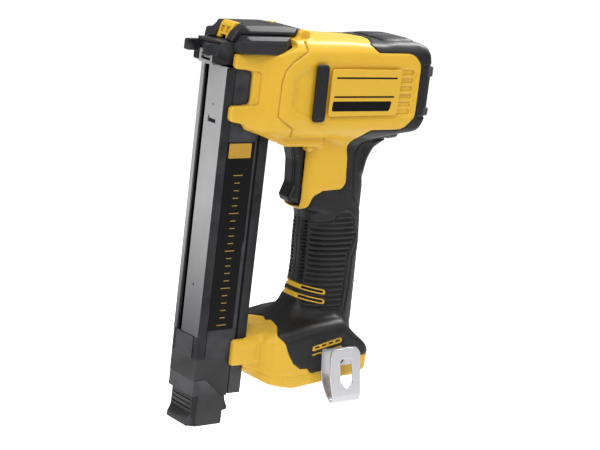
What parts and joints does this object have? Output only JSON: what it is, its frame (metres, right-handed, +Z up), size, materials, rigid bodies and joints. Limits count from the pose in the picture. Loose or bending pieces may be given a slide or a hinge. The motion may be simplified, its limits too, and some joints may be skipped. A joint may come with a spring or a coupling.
{
  "type": "cordless stapler nailer",
  "caption": "Battery-powered staple nailer with a forked nose, long drop-out magazine, pistol grip, slide-pack battery foot and steel belt hook.",
  "frame": {"origin": "on the staple drive line, in the plane of the contact foot's front face", "axes": "-X is the firing direction, +X runs back through the motor barrel, +Z is up with the magazine hanging down, Y=0 is the housing's split plane"},
  "size_m": [0.218, 0.0907, 0.3189],
  "materials": {
    "yellow_shell": "satin moulded plastic",
    "soft_grip": "soft overmould, matt",
    "black_plastic": "fine texture",
    "grey_plastic": "fine texture",
    "black_shell": "black anodised, satin",
    "black_steel": "blackened steel",
    "bare_steel": "machined",
    "brushed_strip": "brushed along its length",
    "bright_steel": "bright plated",
    "label_yellow": "printed film, no text",
    "alloy": "cast",
    "clear_lens": "clear",
    "circuit": "solder mask"
  },
  "bodies": {
    "tool": {"battery_terminals": "black_plastic", "belt_hook": "bright_steel", "belt_hook_screw": "bare_steel", "control_board": "circuit", "drive_bumper": "soft_grip", "drive_frame": "alloy", "drive_springs": "bare_steel", "front_cover": "grey_plastic", "grip_overmould_left": "soft_grip", "grip_overmould_right": "soft_grip", "guide_rods": "bare_steel", "housing_left": "yellow_shell", "housing_right": "yellow_shell", "housing_screws": "bare_steel", "idler_shaft": "bare_steel", "jam_door_pin": "bare_steel", "magazine_body": "black_shell", "magazine_end_cap": "black_plastic", "magazine_front_strip": "brushed_strip", "magazine_label": "label_yellow", "motor_bearings": "bare_steel", "motor_stator": "black_steel", "name_plate_left": "yellow_shell", "name_plate_right": "yellow_shell", "nose_block": "black_steel", "nose_plate": "bare_steel", "side_pad_left": "soft_grip", "side_pad_right": "soft_grip", "trigger_pin": "bare_steel", "trigger_spring": "bare_steel", "trigger_switch": "black_plastic", "work_light_lenses": "clear_lens"},
    "trip": {"contact_trip": "black_steel"},
    "door": {"jam_door": "grey_plastic", "jam_latch_pin": "bare_steel"},
    "door_latch": {"jam_latch": "yellow_shell"},
    "mag_drawer": {"magazine_pull": "black_plastic", "magazine_track": "black_steel", "magazine_latch_pin": "bare_steel", "pusher_spring": "bare_steel", "magazine_latch_spring": "bare_steel"},
    "mag_latch": {"magazine_latch": "black_plastic"},
    "pusher": {"staple_pusher": "bare_steel"},
    "trigger_lever": {"trigger": "black_plastic"},
    "driver": {"driver_carriage": "bare_steel", "driver_blade": "bare_steel"},
    "rotor": {"motor_rotor": "bare_steel", "motor_shaft": "bare_steel", "motor_fan": "black_plastic"},
    "idler": {"idler_gear": "bare_steel"},
    "lifter": {"lifter_gear": "bare_steel", "lifter_wheel": "bare_steel", "lifter_shaft": "bare_steel"}
  },
  "joints": [
    {"name": "contact_trip_slide", "type": "slide", "parent": "tool", "child": "trip", "axis": [1, 0, 0], "range_m": [0, 0.008]},
    {"name": "jam_door_hinge", "type": "hinge", "parent": "tool", "child": "door", "pos_m": [0.0845, 0, 0.0224], "axis": [0, 1, 0], "range_deg": [0, 70]},
    {"name": "jam_latch_hinge", "type": "hinge", "parent": "door", "child": "door_latch", "pos_m": [0.0317, 0, 0.0239], "axis": [0, 1, 0], "range_deg": [0, 50]},
    {"name": "magazine_slide", "type": "slide", "parent": "tool", "child": "mag_drawer", "axis": [0, 0, -1], "range_m": [0, 0.17]},
    {"name": "magazine_latch_hinge", "type": "hinge", "parent": "mag_drawer", "child": "mag_latch", "pos_m": [0.0465, 0, -0.274], "axis": [0, 1, 0], "range_deg": [0, 14]},
    {"name": "pusher_slide", "type": "slide", "parent": "mag_drawer", "child": "pusher", "axis": [0, 0, -1], "range_m": [0, 0.195]},
    {"name": "trigger_pull", "type": "hinge", "parent": "tool", "child": "trigger_lever", "pos_m": [0.1085, 0, -0.069], "axis": [0, -1, 0], "range_deg": [0, 9]},
    {"name": "driver_stroke", "type": "slide", "parent": "tool", "child": "driver", "axis": [1, 0, 0], "range_m": [0, 0.038], "deforming": ["drive_springs"]},
    {"name": "rotor_spin", "type": "hinge", "parent": "tool", "child": "rotor", "pos_m": [0.1675, 0, -0.029], "axis": [0, 1, 0], "continuous": true},
    {"name": "idler_spin", "type": "hinge", "parent": "tool", "child": "idler", "pos_m": [0.1435, 0.012, -0.029], "axis": [0, 1, 0], "continuous": true},
    {"name": "lifter_spin", "type": "hinge", "parent": "tool", "child": "lifter", "pos_m": [0.1175, 0, -0.029], "axis": [0, 1, 0], "continuous": true}
  ],
  "couplings": [
    {"joint": "idler_spin", "follows": "rotor_spin", "ratio": -0.33333},
    {"joint": "lifter_spin", "follows": "rotor_spin", "ratio": 0.1}
  ]
}
